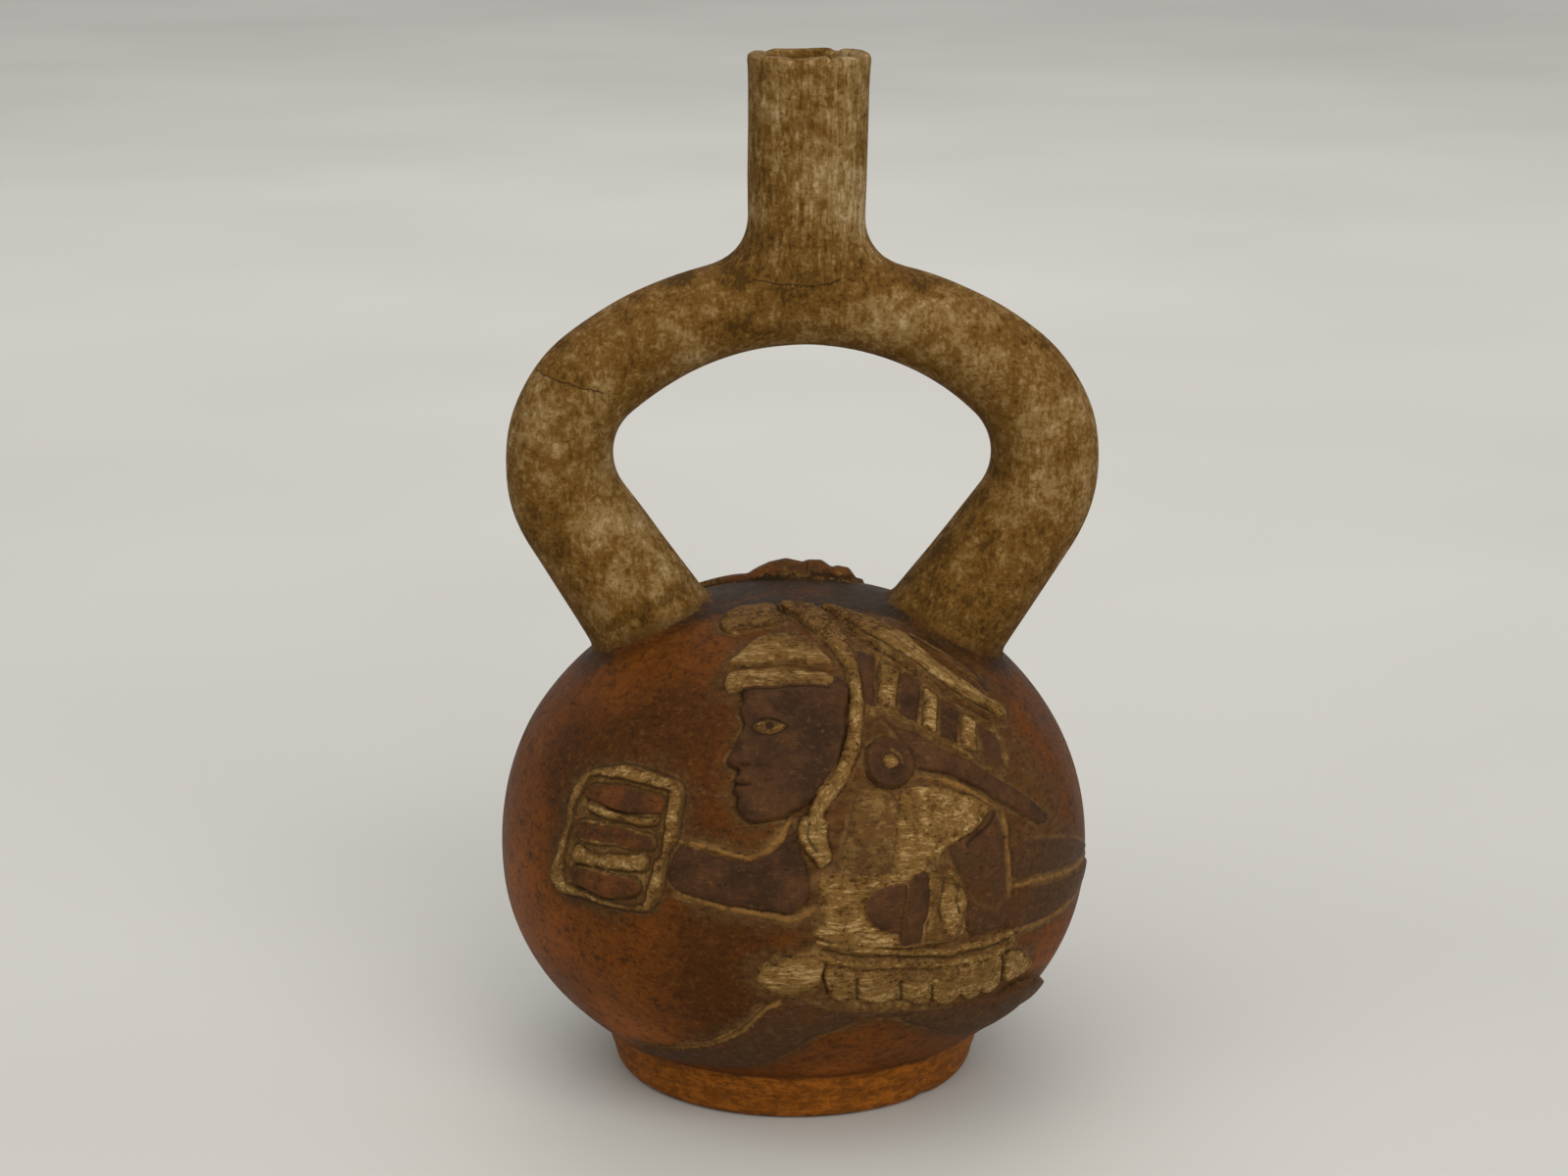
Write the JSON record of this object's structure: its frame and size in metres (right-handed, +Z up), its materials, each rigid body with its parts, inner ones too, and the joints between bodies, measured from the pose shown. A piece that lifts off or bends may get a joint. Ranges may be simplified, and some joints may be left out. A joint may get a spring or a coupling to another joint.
{
  "type": "stirrup spout vessel",
  "caption": "Hollow fired-clay bottle: a round chamber on a ring foot, with an arched tubular handle and one upright spout, and a running warrior in low relief.",
  "frame": {"origin": "centre of the foot ring, on the surface the vessel stands on", "axes": "+Z up through the spout, +X to the viewer's right along the handle's plane, -Y towards the viewer of the main figure"},
  "size_m": [0.1367, 0.1371, 0.235],
  "materials": {
    "fired_clay": "burnished orange and red-brown clay with cream and dark brown slip, mottled by smoke and wear"
  },
  "bodies": {
    "root": {"vessel": "fired_clay"}
  },
  "joints": []
}
